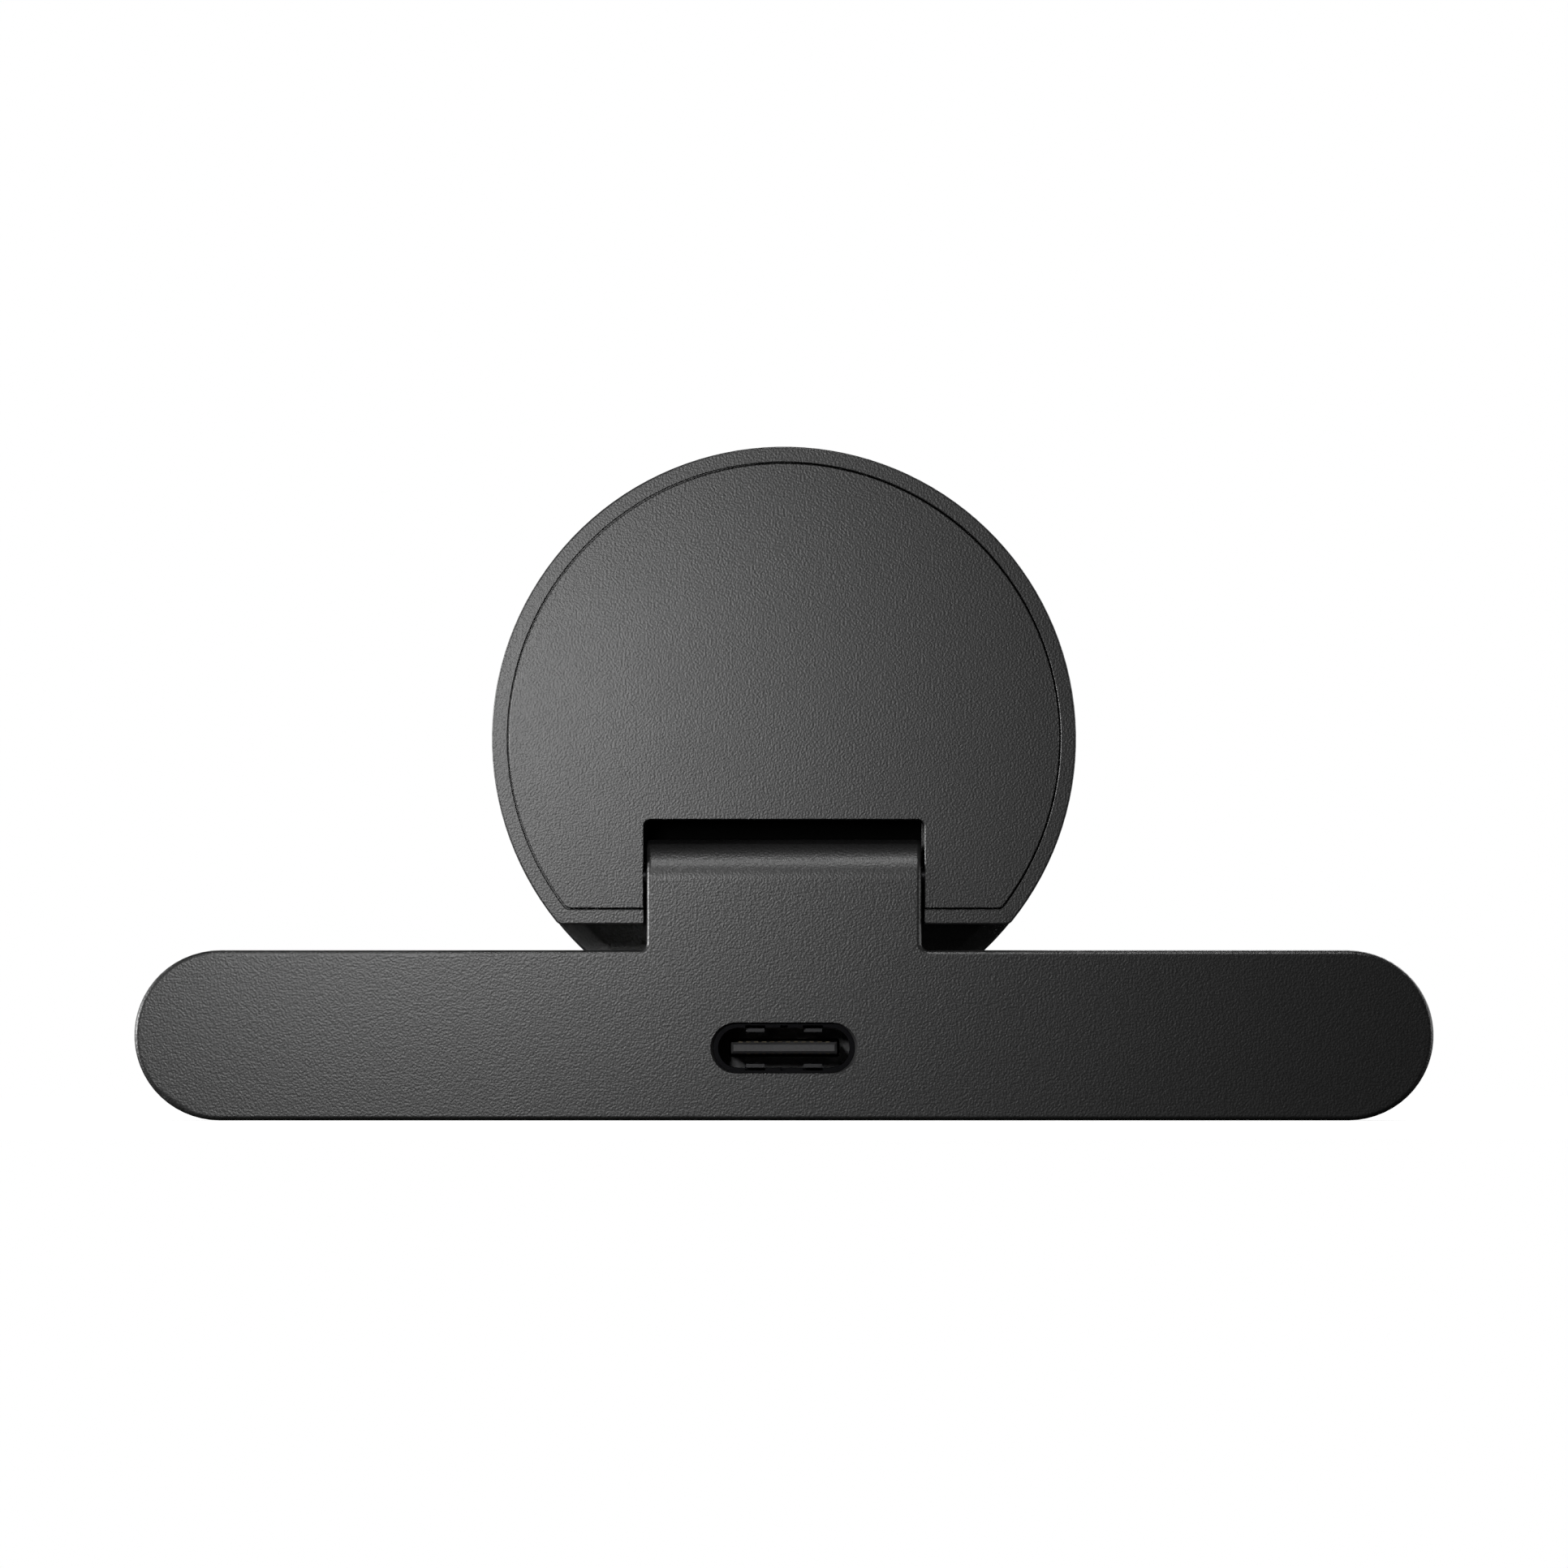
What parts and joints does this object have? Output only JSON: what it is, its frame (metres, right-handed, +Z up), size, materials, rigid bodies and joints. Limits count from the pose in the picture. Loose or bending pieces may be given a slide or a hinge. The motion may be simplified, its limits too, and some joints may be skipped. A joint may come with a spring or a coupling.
{
  "type": "webcam with hinged bar stand",
  "caption": "Small round webcam with a privacy shutter, tilting on a hinge above a low bar-shaped stand with a USB-C socket in its back.",
  "frame": {"origin": "on the ground, below the middle of the whole object's box", "axes": "+Z up, the lens looks along -Y, the socket faces +Y, the bar runs along X"},
  "size_m": [0.082, 0.018, 0.0426],
  "materials": {
    "grey_shell": "fine moulded texture, matte dark grey",
    "foot_rubber": "matte black rubber",
    "screw_steel": "zinc-plated steel",
    "plain_steel": "plain steel sheet and bar",
    "bush_bronze": "oiled bronze",
    "contact_gold": "gold-plated contacts",
    "socket_metal": "dark nickel-plated sheet",
    "black_plastic": "black moulded plastic",
    "circuit_board": "green solder mask",
    "chip_black": "moulded chip package",
    "flex_film": "amber polyimide film",
    "tape_film": "black adhesive tape",
    "thermal_rubber": "blue-grey thermal pad",
    "spreader_aluminium": "bare aluminium",
    "sensor_glass": "dark sensor package",
    "filter_glass": "coated filter glass",
    "lens_glass": "coated lens glass",
    "window_glass": "tinted cover glass",
    "led_body": "light-emitting chip",
    "light_pipe": "milky light guide",
    "panel_black": "gloss black front panel",
    "knob_grey": "matte dark grey"
  },
  "bodies": {
    "stand": {"stand_rear_cover": "grey_shell", "stand_front_cover": "grey_shell", "foot_pad": "foot_rubber", "stand_screws": "screw_steel", "stand_weight_left": "plain_steel", "stand_weight_right": "plain_steel", "friction_bushes": "bush_bronze", "usb_c_shell": "socket_metal", "usb_c_tongue": "black_plastic", "usb_c_contacts": "contact_gold", "usb_board": "circuit_board", "usb_board_chips": "chip_black", "usb_board_screws": "screw_steel", "stand_flex_connector": "black_plastic", "stand_flex_cable": "flex_film"},
    "head": {"head_rear_shell": "grey_shell", "rear_cover_plate": "grey_shell", "cover_plate_tape": "tape_film", "head_screws": "screw_steel", "hinge_shaft": "plain_steel", "hinge_strap_left": "plain_steel", "hinge_strap_right": "plain_steel", "hinge_strap_screws": "screw_steel", "camera_board": "circuit_board", "board_screws": "screw_steel", "image_processor": "chip_black", "shield_can": "plain_steel", "thermal_pad": "thermal_rubber", "heat_spreader": "spreader_aluminium", "camera_flex_connector": "black_plastic", "head_flex_cable": "flex_film", "image_sensor": "sensor_glass", "lens_holder": "black_plastic", "ir_filter": "filter_glass", "lens_barrel": "black_plastic", "lens_front_element": "lens_glass", "lens_inner_elements": "lens_glass", "microphones": "socket_metal", "mic_gaskets": "foot_rubber", "status_led": "led_body", "led_light_pipe": "light_pipe", "front_shell": "grey_shell", "shutter_guide": "black_plastic", "front_panel": "panel_black", "lens_window": "window_glass"},
    "shutter": {"shutter_blade": "black_plastic", "shutter_knob": "knob_grey"}
  },
  "joints": [
    {"name": "head_tilt", "type": "hinge", "parent": "stand", "child": "head", "pos_m": [0, 0.0064, 0.01515], "axis": [1, 0, 0], "range_deg": [-20, 10]},
    {"name": "shutter_slide", "type": "slide", "parent": "head", "child": "shutter", "axis": [-1, 0, 0], "range_m": [0, 0.0086]}
  ]
}
